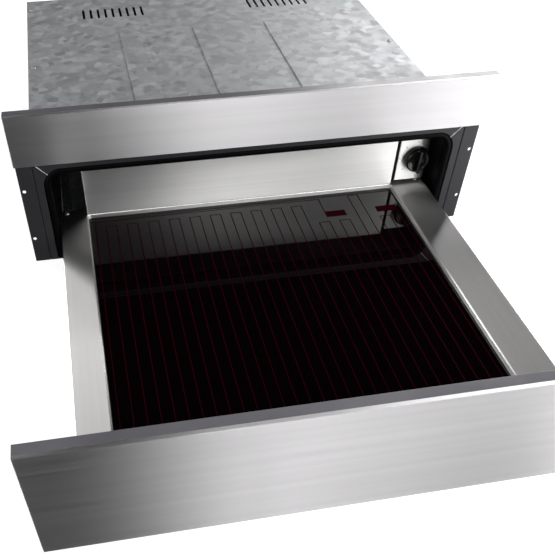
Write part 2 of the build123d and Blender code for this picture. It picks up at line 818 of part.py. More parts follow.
# ---- Ball slides, drawn for the right side -----------------------------------------------
def channel(web, tips, half_high):
    """A member of the slide: an upright web and two flanges that reach to the tips."""
    side = 1 if tips > web else -1
    x0, x1 = sorted((web, tips))
    y0, y1 = slide_front, slide_front + slide_long
    member = block(x0, x1, y0, y1, slide_z - half_high, slide_z + half_high)
    x0, x1 = sorted((web + side * slide_gauge, tips))
    inner = half_high - slide_gauge
    member -= block(x0, x1, y0, y1, slide_z - inner, slide_z + inner)
    corners = edges_at(member, Axis.X, web).filter_by(Axis.Y)
    return fillet(corners, slide_gauge * 0.8)


def ball_cage(x0, x1, race_z, web):
    """Bent strip that holds a row of balls above and one below."""
    y0, y1 = slide_mid - cage_long / 2, slide_mid + cage_long / 2
    reach = race_z + cage_sheet / 2
    cage = block(x0, x1, y0, y1, slide_z - reach, slide_z + reach)
    cage -= block(x0, web, y0, y1, slide_z - reach + cage_sheet, slide_z + reach - cage_sheet)
    pitch = cage_long / balls_per_row
    ball_x = (x0 + web) / 2
    for side in (-1, 1):
        for i in range(balls_per_row):
            cage += Pos(ball_x, y0 + pitch * (i + 0.5), slide_z + side * race_z) * Sphere(ball_radius)
    return cage


def slide_bracket():
    """Angle that carries the fixed member on the base plate."""
    y0, y1 = slide_bracket_front, slide_front + slide_long
    low, top = case_sheet, slide_bottom + slide_high
    riser = block(slide_out, slide_out + bracket_sheet, y0, y1, low, top)
    foot = block(slide_out, slide_out + slide_bracket_foot, y0, y1, low, low + bracket_sheet)
    return riser + foot


half_fixed = slide_high / 2
half_middle = half_fixed - slide_gauge - race
half_inner = half_middle - slide_gauge - race
middle_web = slide_out - slide_gauge - web_gap
cage_out_web = slide_out - slide_gauge - web_gap / 2 - cage_sheet / 2
cage_in_web = middle_web - slide_gauge - cage_gap - cage_sheet
inner_tip = cage_in_web - cage_gap
race_out = half_middle + race / 2
race_in = half_inner + race / 2
members = {
    "slide_fixed": (channel(slide_out, slide_in, half_fixed), 0),
    "slide_middle": (channel(middle_web, slide_in + cage_sheet, half_middle), 0.5),
    "slide_inner": (channel(pan_half, inner_tip, half_inner), 1),
    "slide_bracket": (slide_bracket(), 0),
}
for name, (shape, share) in members.items():
    add(f"{name}_right", shape, out=share)
    add(f"{name}_left", other_side(shape), out=share)
cages = {
    "ball_cages_outer": (ball_cage(slide_in + 1, cage_out_web + cage_sheet, race_out, cage_out_web), 0.25),
    "ball_cages_inner": (ball_cage(slide_in + 1, cage_in_web + cage_sheet, race_in, cage_in_web), 0.75),
}
for name, (shape, share) in cages.items():
    add(name, shape, other_side(shape), out=share)


# ---- Push-to-open latch on the rear wall -------------------------------------------------
def latch_body():
    body = block(-latch_wide / 2, latch_wide / 2, latch_front, case_back, case_sheet, case_sheet + latch_high)
    body = fillet(body.edges().filter_by(Axis.Y).group_by(Axis.Z)[-1], bend)
    return body - rod_y(plunger_radius + fit_gap, latch_front, bore_end, 0, plunger_z)


def plunger():
    """Round plunger with a domed tip, hollow behind for its spring."""
    rod = rod_y(plunger_radius, plunger_tip, plunger_tip + plunger_long, 0, plunger_z)
    rod = fillet(rod.edges().group_by(Axis.Y)[0], plunger_radius * 0.5)
    return rod - rod_y(spring_radius + spring_gap, pocket, plunger_tip + plunger_long, 0, plunger_z)


def latch_spring():
    """The spring as a plain sleeve, at the length it has with the plunger pressed."""
    start = pocket + plunger_stroke + spring_gap
    outside = rod_y(spring_radius, start, bore_end, 0, plunger_z)
    return outside - rod_y(spring_radius - spring_wall, start, bore_end, 0, plunger_z)


spring_gap = 0.3
pocket = plunger_tip + plunger_long / 2
bore_end = plunger_tip + plunger_long + plunger_stroke + spring_gap
add("push_latch_body", latch_body())
add("push_latch_plunger", plunger())
add("push_latch_spring", latch_spring())


# ---- Mains terminal box and inlet gland --------------------------------------------------
def terminal_box():
    """Moulded box on the rear wall, open to the front."""
    x0 = gland_x - terminal_box_wide / 2
    x1 = gland_x + terminal_box_wide / 2
    y0 = case_back - terminal_box_deep
    z0, z1 = terminal_box_bottom, terminal_box_bottom + terminal_box_high
    wall = terminal_box_wall
    box = block(x0, x1, y0, case_back, z0, z1)
    box = fillet(box.edges().filter_by(Axis.Y), wall)
    box -= block(x0 + wall, x1 - wall, y0, case_back - wall, z0 + wall, z1 - wall)
    return box - rod_y(gland_radius + fit_gap, case_back - wall, case_back, gland_x, gland_z)


def terminal_box_lid():
    x0 = gland_x - terminal_box_wide / 2
    y1 = case_back - terminal_box_deep
    z0, z1 = terminal_box_bottom, terminal_box_bottom + terminal_box_high
    lid = block(x0, x0 + terminal_box_wide, y1 - terminal_box_wall, y1, z0, z1)
    return fillet(lid.edges().filter_by(Axis.Y), terminal_box_wall)


def inlet_gland():
    """Hollow gland through the rear wall and the box, with its lock nut inside."""
    inner = case_back - terminal_box_wall
    barrel = rod_y(gland_radius, inner - gland_head_long, case_depth, gland_x, gland_z)
    hexagon = RegularPolygon(gland_head, 6)
    head = Pos(gland_x, case_depth + gland_head_long, gland_z) * extrude(Plane.XZ * hexagon, gland_head_long)
    bore = rod_y(gland_bore, inner - gland_head_long, case_depth + gland_head_long, gland_x, gland_z)
    nut = Pos(gland_x, inner, gland_z) * extrude(Plane.XZ * hexagon, gland_head_long * 0.6)
    nut -= rod_y(gland_radius + fit_gap, inner - gland_head_long, inner, gland_x, gland_z)
    return [barrel + head - bore, nut]


add("terminal_box", terminal_box())
add("terminal_box_lid", terminal_box_lid())
add("inlet_gland", *inlet_gland())


# ---- Write every piece -------------------------------------------------------------------
os.makedirs("parts", exist_ok=True)
for name, solids in pieces.items():
    export_step(Compound(children=solids), f"parts/{name}.step")
print(len(pieces), "pieces,", sum(len(solids) for solids in pieces.values()), "solids")
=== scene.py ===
# %% [markdown]
# # A built-in warming drawer, pulled open
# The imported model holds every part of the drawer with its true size: the case, the sliding deck, the glass,
# the slides and the control. This script leaves those shapes where they are. It gives each one a finish,
# builds the small pieces that need more shape than the solids have, and sets up the camera and the studio.
# Blender counts in metres. The sizes of small things are easier to read in millimetres, so MM turns one into
# the other.

import json
import math

import bmesh
import bpy
from mathutils import Matrix, Vector

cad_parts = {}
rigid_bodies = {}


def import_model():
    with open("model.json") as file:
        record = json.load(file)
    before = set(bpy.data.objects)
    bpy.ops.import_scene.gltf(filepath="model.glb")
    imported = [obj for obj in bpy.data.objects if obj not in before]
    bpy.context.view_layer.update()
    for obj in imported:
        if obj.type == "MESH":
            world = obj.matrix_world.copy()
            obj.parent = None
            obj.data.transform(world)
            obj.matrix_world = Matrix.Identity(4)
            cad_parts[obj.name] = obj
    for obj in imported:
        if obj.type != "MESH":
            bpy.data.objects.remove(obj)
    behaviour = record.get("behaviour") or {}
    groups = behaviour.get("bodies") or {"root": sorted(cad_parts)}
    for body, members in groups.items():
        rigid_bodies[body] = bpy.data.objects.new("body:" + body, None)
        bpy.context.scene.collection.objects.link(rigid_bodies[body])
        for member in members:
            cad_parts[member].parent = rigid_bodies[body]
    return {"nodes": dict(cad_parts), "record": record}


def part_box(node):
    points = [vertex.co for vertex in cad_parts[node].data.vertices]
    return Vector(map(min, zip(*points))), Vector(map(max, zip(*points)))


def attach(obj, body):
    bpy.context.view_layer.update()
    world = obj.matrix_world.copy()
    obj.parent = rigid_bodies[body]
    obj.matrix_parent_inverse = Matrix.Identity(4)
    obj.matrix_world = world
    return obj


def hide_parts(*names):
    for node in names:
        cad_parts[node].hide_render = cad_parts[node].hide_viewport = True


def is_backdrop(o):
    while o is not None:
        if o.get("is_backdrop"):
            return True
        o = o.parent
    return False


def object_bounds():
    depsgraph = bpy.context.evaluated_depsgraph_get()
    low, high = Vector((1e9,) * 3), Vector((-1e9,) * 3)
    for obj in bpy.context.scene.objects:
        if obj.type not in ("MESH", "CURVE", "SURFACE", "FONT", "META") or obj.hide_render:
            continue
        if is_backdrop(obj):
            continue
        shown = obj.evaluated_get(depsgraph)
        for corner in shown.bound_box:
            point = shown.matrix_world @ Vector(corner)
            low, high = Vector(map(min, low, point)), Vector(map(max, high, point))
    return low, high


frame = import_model()
cad_low, cad_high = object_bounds()
MM = 0.001
print("pieces in the packed model:", len(frame["nodes"]))
print("its box in mm:", [round((high - low) / MM, 1) for low, high in zip(cad_low, cad_high)])

# %% [markdown]
# ## The camera
# The picture looks down into the open drawer from its front left. A camera is a place, a direction and a
# focal length. We could aim it at a target object, but here yaw, pitch and roll are known, so we build the
# three axes of the camera from them. The picture is cut out of a wider one, so the optical axis isn't in its
# middle: the shift moves the frame sideways and up without turning the camera.

# %% Place the camera
scene = bpy.context.scene
picture_side = 555
focal_pixels = 702.49
axis_pixel = (214.66, 428.10)
yaw, pitch, roll = 0.17641, 0.85763, -0.00447  # in radians
standing_at = (-0.20074, -0.82068, 0.56847)

looking = Vector((math.sin(yaw) * math.cos(pitch), math.cos(yaw) * math.cos(pitch), -math.sin(pitch)))
level_right = looking.cross(Vector((0, 0, 1))).normalized()
level_up = level_right.cross(looking)
right = level_right * math.cos(roll) + level_up * math.sin(roll)
up = level_up * math.cos(roll) - level_right * math.sin(roll)

lens = bpy.data.cameras.new("camera")
lens.sensor_width = 36.0
lens.lens = focal_pixels * lens.sensor_width / picture_side
lens.shift_x = (picture_side / 2 - axis_pixel[0]) / picture_side
lens.shift_y = (axis_pixel[1] - picture_side / 2) / picture_side
camera = bpy.data.objects.new("camera", lens)
axes = Matrix((right, up, -looking)).transposed().to_4x4()
camera.matrix_world = Matrix.Translation(standing_at) @ axes
scene.collection.objects.link(camera)
scene.camera = camera
print("focal length in mm:", round(lens.lens, 2))

# %% [markdown]
# ## Small helpers for materials
# Every finish below is a node tree. A node tree can be drawn by hand in the shader editor; in code it is
# easier to read when adding a node and joining two sockets take one short line each. Each finish goes into
# one collection under its name, so that a part can ask for it.

# %% Helpers that start a node tree
finishes = {}


def finish(name, base, roughness, metallic=0.0):
    """A new material: its tree and its shader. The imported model's plain colour gives up its name to it."""
    plain = bpy.data.materials.get(name)
    if plain:
        plain.name = name + "_plain"
    material = bpy.data.materials.new(name)
    material.use_nodes = True
    tree = material.node_tree
    shader = tree.nodes["Principled BSDF"]
    shader.inputs["Base Color"].default_value = (*base, 1)
    shader.inputs["Roughness"].default_value = roughness
    shader.inputs["Metallic"].default_value = metallic
    finishes[name] = material
    return tree, shader


def add(tree, kind, **settings):
    """A node of one kind, with some of its attributes set."""
    node = tree.nodes.new(kind)
    for key, value in settings.items():
        setattr(node, key, value)
    return node


def own_space(tree, scale=(1, 1, 1)):
    """Coordinates in metres that stay with the piece, stretched by a scale for each axis."""
    place = add(tree, "ShaderNodeTexCoord")
    stretch = add(tree, "ShaderNodeMapping")
    stretch.inputs["Scale"].default_value = scale
    tree.links.new(place.outputs["Object"], stretch.inputs["Vector"])
    return stretch.outputs["Vector"]


print("plain colours that came with the model:", len(bpy.data.materials))

# %% [markdown]
# Hardly anything real has one even colour. A noise pattern, read in coordinates that stay with the piece, is
# the cheapest way to vary it, and the same pattern can steer colour, roughness and relief, which makes them
# look like one surface. The helpers turn a pattern into each of these.


# %% Helpers for patterns
def speckle(tree, where, scale, detail=3.0, rough=0.55):
    """A noise pattern read in given coordinates."""
    noise = add(tree, "ShaderNodeTexNoise")
    noise.inputs["Scale"].default_value = scale
    noise.inputs["Detail"].default_value = detail
    noise.inputs["Roughness"].default_value = rough
    tree.links.new(where, noise.inputs["Vector"])
    return noise.outputs["Fac"]


def between(tree, pattern, low, high, start=0.3, end=0.7):
    """Turns a pattern into a value that runs from low to high."""
    ramp = add(tree, "ShaderNodeMapRange")
    ramp.inputs["From Min"].default_value = start
    ramp.inputs["From Max"].default_value = end
    ramp.inputs["To Min"].default_value = low
    ramp.inputs["To Max"].default_value = high
    tree.links.new(pattern, ramp.inputs["Value"])
    return ramp.outputs["Result"]


def two_tones(tree, pattern, first, second, start=0.3, end=0.7):
    """Turns a pattern into a colour between two tones."""
    ramp = add(tree, "ShaderNodeValToRGB")
    ramp.color_ramp.elements[0].position = start
    ramp.color_ramp.elements[0].color = (*first, 1)
    ramp.color_ramp.elements[1].position = end
    ramp.color_ramp.elements[1].color = (*second, 1)
    tree.links.new(pattern, ramp.inputs["Fac"])
    return ramp.outputs["Color"]


def shades(tree, pattern, tone, darkest, lightest, start=0.3, end=0.7):
    """Turns a pattern into a colour between two shares of one tone."""
    dark = tuple(value * darkest for value in tone)
    light = tuple(value * lightest for value in tone)
    return two_tones(tree, pattern, dark, light, start, end)


def combined(tree, operation, first, second):
    """What one operation makes of two values."""
    node = add(tree, "ShaderNodeMath", operation=operation)
    tree.links.new(first, node.inputs[0])
    tree.links.new(second, node.inputs[1])
    return node.outputs[0]


def relief(tree, shader, height, depth):
    """Fine surface relief, as deep as given in metres."""
    bump = add(tree, "ShaderNodeBump")
    bump.inputs["Strength"].default_value = 1.0
    bump.inputs["Distance"].default_value = depth
    tree.links.new(height, bump.inputs["Height"])
    tree.links.new(bump.outputs["Normal"], shader.inputs["Normal"])
    return bump


print("helpers for patterns ready")

# %% [markdown]
# ## Brushed stainless steel
# The fronts, the ledges and the upright panels are brushed: an abrasive belt leaves long fine scratches in
# one direction. Up close they are lines; from further off they smear every reflection across the brushing.
# Both can be had. A noise pattern that is stretched more than a hundred times along the grain draws the
# lines, and the shader's anisotropy smears the highlights. It needs a tangent that lies in the sheet, square
# to the grain: the cross product of the grain and the normal gives one on every face, also round a fold.
# Where a face looks straight along the grain that product is nothing, so a small push upwards is added.
#
# The deck's folds are smoother than its flats, because the press tool slid over them, and they catch the
# light as thin bright lines. There the normal points neither straight up nor level, which a node can read.

# %% Helpers that read where a sheet faces
wall_into_fold = (0.05, 0.3)  # the normal's Z where an upright wall bends into a fold
fold_into_flat = (0.9, 0.98)  # and where the fold runs out into the flat
push_upwards = (0, 0, 0.01)


def surface_normal(tree):
    """Where the surface faces: the whole normal, and its X, Y and Z apart."""
    surface = add(tree, "ShaderNodeNewGeometry")
    facing = add(tree, "ShaderNodeSeparateXYZ")
    tree.links.new(surface.outputs["Normal"], facing.inputs[0])
    return surface.outputs["Normal"], facing.outputs


def off_the_folds(tree, upwards):
    """1 on flats and on upright walls, 0 on the folds between them."""
    on_flat = between(tree, upwards, 0.0, 1.0, *fold_into_flat)
    on_wall = between(tree, upwards, 1.0, 0.0, *wall_into_fold)
    return combined(tree, "MAXIMUM", on_flat, on_wall)


def square_to(tree, grain, normal):
    """A tangent that lies in the sheet, square to the grain."""
    across = add(tree, "ShaderNodeVectorMath", operation="CROSS_PRODUCT")
    across.inputs[0].default_value = grain
    tree.links.new(normal, across.inputs[1])
    pushed = add(tree, "ShaderNodeVectorMath", operation="ADD")
    pushed.inputs[1].default_value = push_upwards
    tree.links.new(across.outputs[0], pushed.inputs[0])
    return pushed.outputs[0]


steepest, flattest = (round(math.degrees(math.acos(z))) for z in (wall_into_fold[0], fold_into_flat[1]))
print("a fold is tilted by", flattest, "to", steepest, "degrees")

# %% [markdown]
# The fronts, the back panel and the control box are brushed from side to side, the deck from front to back.
# Two patterns are mixed: the scratches, and broader bands where the belt pressed more. The deck alone has
# polished folds, and its scratches fade out on them.

# %% Brushed steel, in either direction
scratches_along, scratches_across = 6.0, 900.0  # pattern scale along the grain and across it
band_scale = 0.12  # the bands' scale, as a share of the scratches'
scratch_depth = 0.012 * MM
brushed_roughness = 0.46
side_to_side, front_to_back = (1, 0, 0), (0, 1, 0)


def brushed_steel(name, grain, tone, fold_polish=1.0):
    """Steel with its scratches along one axis. Its folds have the given share of its roughness."""
    tree, shader = finish(name, tone, brushed_roughness, metallic=1.0)
    scale = tuple(scratches_along if part else scratches_across for part in grain)
    scratches = speckle(tree, own_space(tree, scale), 1.0, detail=4.0, rough=0.7)
    bands = speckle(tree, own_space(tree, tuple(value * band_scale for value in scale)), 1.0, detail=2.0)
    half = add(tree, "ShaderNodeMath", operation="MULTIPLY")
    half.inputs[1].default_value = 0.5
    tree.links.new(combined(tree, "ADD", scratches, bands), half.inputs[0])
    mixed = half.outputs[0]
    colour = shades(tree, mixed, tone, darkest=0.93, lightest=1.04, start=0.35, end=0.65)
    tree.links.new(colour, shader.inputs["Base Color"])

    normal, facing = surface_normal(tree)
    unfolded = off_the_folds(tree, facing["Z"])
    rough = between(tree, scratches, brushed_roughness * 0.9, brushed_roughness * 1.15)
    polished = between(tree, unfolded, fold_polish, 1.0, 0.0, 1.0)
    tree.links.new(combined(tree, "MULTIPLY", rough, polished), shader.inputs["Roughness"])
    grooves = relief(tree, shader, mixed, scratch_depth)
    if fold_polish < 1.0:
        tree.links.new(unfolded, grooves.inputs["Strength"])
    shader.inputs["Anisotropic"].default_value = 1.0
    tree.links.new(square_to(tree, grain, normal), shader.inputs["Tangent"])


brushed_steel("fascia_steel", side_to_side, (0.60, 0.59, 0.60))
brushed_steel("ledge_steel", front_to_back, (0.60, 0.59, 0.585), fold_polish=0.6)
brushed_steel("panel_steel", side_to_side, (0.80, 0.795, 0.785))
print("steel finishes:", *finishes)

# %% [markdown]
# ## Painted sheet
# The sides of the case with their flanges, the frame round the mouth and the trays behind the fronts have a
# dark satin paint. Sprayed paint dries with a faint relief like the peel of an orange. A fine noise gives
# that relief, and a coarse one makes the paint a little cloudy.

# %% Satin paint
peel_scale, peel_depth = 900.0, 0.03 * MM
cloud_scale = 14.0


def satin_paint(name, tone, roughness=0.42, shine=0.3):
    """Dark paint, slightly cloudy, with an orange-peel relief."""
    tree, shader = finish(name, tone, roughness)
    cloud = speckle(tree, own_space(tree), cloud_scale)
    tree.links.new(shades(tree, cloud, tone, darkest=1.0, lightest=1.25), shader.inputs["Base Color"])
    tree.links.new(between(tree, cloud, roughness * 0.9, roughness * 1.15), shader.inputs["Roughness"])
    relief(tree, shader, speckle(tree, own_space(tree), peel_scale, detail=2.0), peel_depth)
    shader.inputs["Specular IOR Level"].default_value = shine


satin_paint("flange_paint", (0.010, 0.010, 0.012), shine=0.22)
satin_paint("back_tray_paint", (0.082, 0.079, 0.088), roughness=0.38, shine=0.5)
print("finishes with the paints:", len(finishes))

# %% [markdown]
# ## Galvanised sheet
# The rest of the case, its brackets and the drawer's pan are galvanised. Zinc freezes in flat crystals, the
# spangle, and each one is a little lighter or darker. A Voronoi pattern gives each cell one random tone,
# which is just that. The sheets are cut after they are dipped, so their cut edges are bare steel that has
# turned dark. Of what shows, nearly every zinc face that looks to the front is such an edge. The Y of the
# normal darkens all of them: on a cut edge that is the steel's own dark, and on the rest it is painted
# shade, which keeps the cover's front edge from showing as a bright line in the black glass.

# %% Zinc
crystal_scale = 85.0
zinc_grain, zinc_depth = 260.0, 0.02 * MM
edge_and_shade_share = 0.1  # share of the tone left on faces that look forwards: the bare edges and painted shade
looks_forward = (-0.95, -0.8)  # the normal's Y, from nearly straight forwards to clearly aslant


def galvanised(name, tone):
    """Zinc with its spangle, darker on faces that look to the front: bare cut edges and painted shade."""
    tree, shader = finish(name, tone, 0.4, metallic=0.85)
    where = own_space(tree)
    crystals = add(tree, "ShaderNodeTexVoronoi")
    crystals.inputs["Scale"].default_value = crystal_scale
    tree.links.new(where, crystals.inputs["Vector"])
    chance = add(tree, "ShaderNodeSeparateColor")
    tree.links.new(crystals.outputs["Color"], chance.inputs[0])
    _, facing = surface_normal(tree)
    spangle = shades(tree, chance.outputs[0], tone, darkest=0.82, lightest=1.12, start=0.0, end=1.0)
    # Painted shade: every face that looks to the front is darkened, cut edges and the rest alike.
    edges_and_painted_shade = add(tree, "ShaderNodeVectorMath", operation="MULTIPLY")
    tree.links.new(spangle, edges_and_painted_shade.inputs[0])
    tree.links.new(between(tree, facing["Y"], edge_and_shade_share, 1.0, *looks_forward), edges_and_painted_shade.inputs[1])
    tree.links.new(edges_and_painted_shade.outputs[0], shader.inputs["Base Color"])
    rough = between(tree, chance.outputs[1], low=0.52, high=0.66, start=0.0, end=1.0)
    tree.links.new(rough, shader.inputs["Roughness"])
    relief(tree, shader, speckle(tree, where, zinc_grain), zinc_depth)


galvanised("case_zinc", (0.38, 0.39, 0.40))
galvanised("pan_zinc", (0.40, 0.41, 0.42))
print("finishes with the zinc:", len(finishes))

# %% [markdown]
# ## Black glass and the printed track
# The tray is a sheet of black glass, so smooth that it mirrors the panel behind it. Only traces of wiping
# give it away, so its roughness changes a little from place to place. The track on it is a dark red enamel
# line. Enamel is fired powder: it is slightly uneven and duller than the glass, so it gets a low index of
# refraction, which takes its shine away.

# %% Glass and enamel
wiping_stretch, wiping_scale = (3, 9, 1), 1.4
tree, shader = finish("glass_black", (0.0016, 0.0006, 0.0009), 0.03)
shader.inputs["IOR"].default_value = 1.47
wiped = speckle(tree, own_space(tree, wiping_stretch), wiping_scale, detail=5.0, rough=0.65)
tree.links.new(between(tree, wiped, low=0.012, high=0.03), shader.inputs["Roughness"])

powder_scale, powder_depth = 700.0, 0.02 * MM
dark_red, light_red = (0.015, 0.00025, 0.0024), (0.020, 0.00035, 0.0032)
tree, shader = finish("track_enamel", (0.0175, 0.0003, 0.0028), 0.6)
shader.inputs["IOR"].default_value = 1.04
powder = speckle(tree, own_space(tree), powder_scale)
tree.links.new(two_tones(tree, powder, dark_red, light_red), shader.inputs["Base Color"])
relief(tree, shader, powder, powder_depth)
print("finishes with the glass:", len(finishes))

# %% [markdown]
# ## Plastics and rubber
# Moulded plastic has a fine grain from its mould; the knob is polished and has hardly any. Rubber is duller
# still. One function makes them all, and the ceramic and the printed marks as well, since they differ only
# in tone, grain and shine.


# %% Plastics, rubber, ceramic and printed marks
def moulded(name, tone, roughness, grain=1400.0, depth=0.02 * MM, shine=0.5):
    """A plain material with fine pits, such as a mould leaves."""
    tree, shader = finish(name, tone, roughness)
    shader.inputs["Specular IOR Level"].default_value = shine
    pits = speckle(tree, own_space(tree), grain, detail=2.0)
    tree.links.new(between(tree, pits, roughness * 0.85, roughness * 1.2), shader.inputs["Roughness"])
    tree.links.new(shades(tree, pits, tone, darkest=1.0, lightest=1.2), shader.inputs["Base Color"])
    relief(tree, shader, pits, depth)


moulded("lip_black", (0.0004, 0.0004, 0.0005), 0.45, shine=0.04)
moulded("plastic_black", (0.022, 0.022, 0.024), 0.5)
moulded("plastic_grey", (0.22, 0.23, 0.24), 0.45)
moulded("seal_black", (0.008, 0.008, 0.008), 0.55)
moulded("buffer_rubber", (0.03, 0.03, 0.03), 0.75)
moulded("knob_black", (0.002, 0.002, 0.0023), 0.14, grain=300.0, depth=0.003 * MM, shine=0.18)
moulded("mark_print", (0.012, 0.012, 0.013), 0.6)
moulded("ceramic_white", (0.72, 0.70, 0.65), 0.35)
print("finishes with the plastics:", len(finishes))

# %% [markdown]
# ## Materials inside, and bright metal
# The heater, its spreader, the insulation and the honeycomb cores are never seen from outside, but a
# cut-away or a repair drawing shows them, so each has its own look as well. Fibres could be modelled one by
# one; a noise that is stretched along them looks nearly the same and costs nothing. The slides and the
# small hardware are plated, and their shine is rubbed unevenly by handling.

# %% Inner materials and bright metal
strand_depth = 0.4 * MM
rubbing_scale = 420.0


def fibrous(name, tone, light, scale):
    """A mass of fibres, stretched by a scale for each axis."""
    tree, shader = finish(name, tone, 0.9)
    strands = speckle(tree, own_space(tree, scale), 1.0, detail=6.0, rough=0.75)
    tree.links.new(two_tones(tree, strands, tone, light), shader.inputs["Base Color"])
    relief(tree, shader, strands, strand_depth)


def bright_metal(name, tone, roughness):
    """Plated or bare metal, rubbed unevenly."""
    tree, shader = finish(name, tone, roughness, metallic=1.0)
    rubbed = speckle(tree, own_space(tree), rubbing_scale, detail=4.0)
    tree.links.new(between(tree, rubbed, roughness * 0.7, roughness * 1.4), shader.inputs["Roughness"])
    tree.links.new(shades(tree, rubbed, tone, darkest=0.88, lightest=1.0), shader.inputs["Base Color"])


fibrous("heater_mica", (0.36, 0.29, 0.19), (0.50, 0.43, 0.31), (160, 160, 160))
fibrous("wool", (0.58, 0.55, 0.48), (0.80, 0.78, 0.72), (900, 120, 900))
fibrous("honeycomb", (0.42, 0.33, 0.22), (0.56, 0.46, 0.33), (300, 40, 300))
bright_metal("slide_zinc", (0.60, 0.61, 0.63), 0.3)
bright_metal("fastener_steel", (0.40, 0.40, 0.41), 0.32)
bright_metal("spreader_aluminium", (0.76, 0.76, 0.77), 0.35)
print("finishes of the drawer:", len(finishes))

# %% [markdown]
# ## Dress the parts
# The record names a slot for every part, and the slots have the same names as the finishes above. So one loop
# can give each part its finish, and a part without one would stop the script at once. The plain colours that
# came with the model have no more use then, and go.

# %% Give each part its finish
for entry in frame["record"]["subparts"]:
    part = frame["nodes"][entry["node"]]
    part.data.materials.clear()
    part.data.materials.append(finishes[entry["material_slot"]])
for material in [material for material in bpy.data.materials if material.name.endswith("_plain")]:
    bpy.data.materials.remove(material)

# %% [markdown]
# ## Helpers for pieces of our own
# A few parts need more shape than their solids have: the screws, the rivets, the knob, the wool and the
# spring. A screw could be bought in from a library, but most small hardware is turned on a lathe, so one
# helper that spins a profile makes nearly all of it.

# %% Helpers that make meshes
sharp_turn = math.radians(35)


def in_metres(profile):
    """A profile in millimetres, as metres."""
    return [(radius * MM, height * MM) for radius, height in profile]


def mesh_from(name, corners, faces):
    """A smooth-shaded mesh with outward faces, kept sharp where it turns by more than sharp_turn."""
    work = bmesh.new()
    made = [work.verts.new(corner) for corner in corners]
    for face in faces:
        work.faces.new([made[index] for index in face])
    bmesh.ops.recalc_face_normals(work, faces=work.faces)
    for face in work.faces:
        face.smooth = True
    for edge in work.edges:
        edge.smooth = edge.calc_face_angle(0.0) < sharp_turn
    mesh = bpy.data.meshes.new(name)
    work.to_mesh(mesh)
    work.free()
    return mesh


def turned(name, profile, steps=48):
    """A profile of (radius, height) spun round the Z axis. Its first and last points lie on the axis."""
    rings = profile[1:-1]
    corners = [(0, 0, profile[0][1])]
    for radius, height in rings:
        for step in range(steps):
            angle = 2 * math.pi * step / steps
            corners.append((radius * math.cos(angle), radius * math.sin(angle), height))
    corners.append((0, 0, profile[-1][1]))
    last = len(corners) - 1
    faces = []
    for step in range(steps):
        after = (step + 1) % steps
        faces.append((0, 1 + step, 1 + after))
        for ring in range(len(rings) - 1):
            near, far = 1 + ring * steps, 1 + (ring + 1) * steps
            faces.append((near + step, far + step, far + after, near + after))
        final = 1 + (len(rings) - 1) * steps
        faces.append((final + step, last, final + after))
    return mesh_from(name, corners, faces)


def joined(name, pairs):
    """One mesh that holds a copy of each mesh, moved by the matrix that it is paired with."""
    work = bmesh.new()
    for mesh, place in pairs:
        one = mesh.copy()
        one.transform(place)
        work.from_mesh(one)
        bpy.data.meshes.remove(one)
    whole = bpy.data.meshes.new(name)
    work.to_mesh(whole)
    work.free()
    return whole


print("surfaces are smooth up to a turn of", round(math.degrees(sharp_turn)), "degrees")

# %% [markdown]
# A new piece goes where the part is that it stands for. Several screws can be one part, so its mesh is taken
# apart: from one vertex we follow the edges until no new vertex turns up, and that is one solid. Blender can
# separate loose parts as well, but only by making new objects, and here we need no more than their boxes.

# %% Helpers that find places and put pieces there
same_place = 0.001 * MM


def solids_of(node):
    """The lowest and highest corner of each separate solid in a part."""
    work = bmesh.new()
    work.from_mesh(frame["nodes"][node].data)
    bmesh.ops.remove_doubles(work, verts=work.verts, dist=same_place)
    waiting = set(work.verts)
    found = []
    while waiting:
        group, reached = set(), [waiting.pop()]
        while reached:
            vertex = reached.pop()
            group.add(vertex)
            for edge in vertex.link_edges:
                other = edge.other_vert(vertex)
                if other in waiting:
                    waiting.remove(other)
                    reached.append(other)
        low = Vector([min(vertex.co[axis] for vertex in group) for axis in range(3)])
        high = Vector([max(vertex.co[axis] for vertex in group) for axis in range(3)])
        found.append((low, high))
    work.free()
    return sorted(found, key=lambda pair: tuple(pair[0]))


def seats_of(node, head_high):
    """For each fastener in a part, the move that sets a new one on the surface under its head."""
    return [
        Matrix.Translation(((low.x + high.x) / 2, (low.y + high.y) / 2, high.z - head_high))
        for low, high in solids_of(node)
    ]


def box_of(node):
    """A part's lowest and highest corner, as vectors."""
    return [Vector(corner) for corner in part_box(node)]


def put_in(name, mesh, slot, body, node):
    """A new piece that stands for a part, in that part's finish, on its body."""
    piece = bpy.data.objects.new(name, mesh)
    mesh.materials.clear()
    mesh.materials.append(finishes[slot])
    scene.collection.objects.link(piece)
    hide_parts(node)
    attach(piece, body)
    print(name, "has", len(mesh.polygons), "faces")
    return piece


print("screws found in the cover:", len(solids_of("cover_screws")))

# %% [markdown]
# ## Screws in the top cover
# Six screws hold the cover. A pan head is a low dome with a cross recess. The recess could be drawn into the
# dome's faces, but cutting it out with a Boolean keeps the cross crisp, and the cutter is only two crossed
# bars that narrow downwards.

# %% The cutter for a cross recess
square = ((-1, -1), (1, -1), (1, 1), (-1, 1))
narrowing = 0.55  # the bars' size at the bottom, as a share of that at the top


def crossed_cutter(reach, width, top, bottom):
    """Two bars that cross, narrower at the bottom than at the top."""
    corners, faces = [], []
    for turn in (0, math.pi / 2):
        first = len(corners)
        for height, share in ((top, 1.0), (bottom, narrowing)):
            for x, y in square:
                point = Vector((x * reach * share, y * width / 2 * share, height))
                point.rotate(Matrix.Rotation(turn, 3, "Z"))
                corners.append(tuple(point))
        sides = ((0, 1, 2, 3), (4, 5, 6, 7), (0, 1, 5, 4), (1, 2, 6, 5), (2, 3, 7, 6), (3, 0, 4, 7))
        faces += [tuple(first + index for index in side) for side in sides]
    return mesh_from("cross", corners, faces)


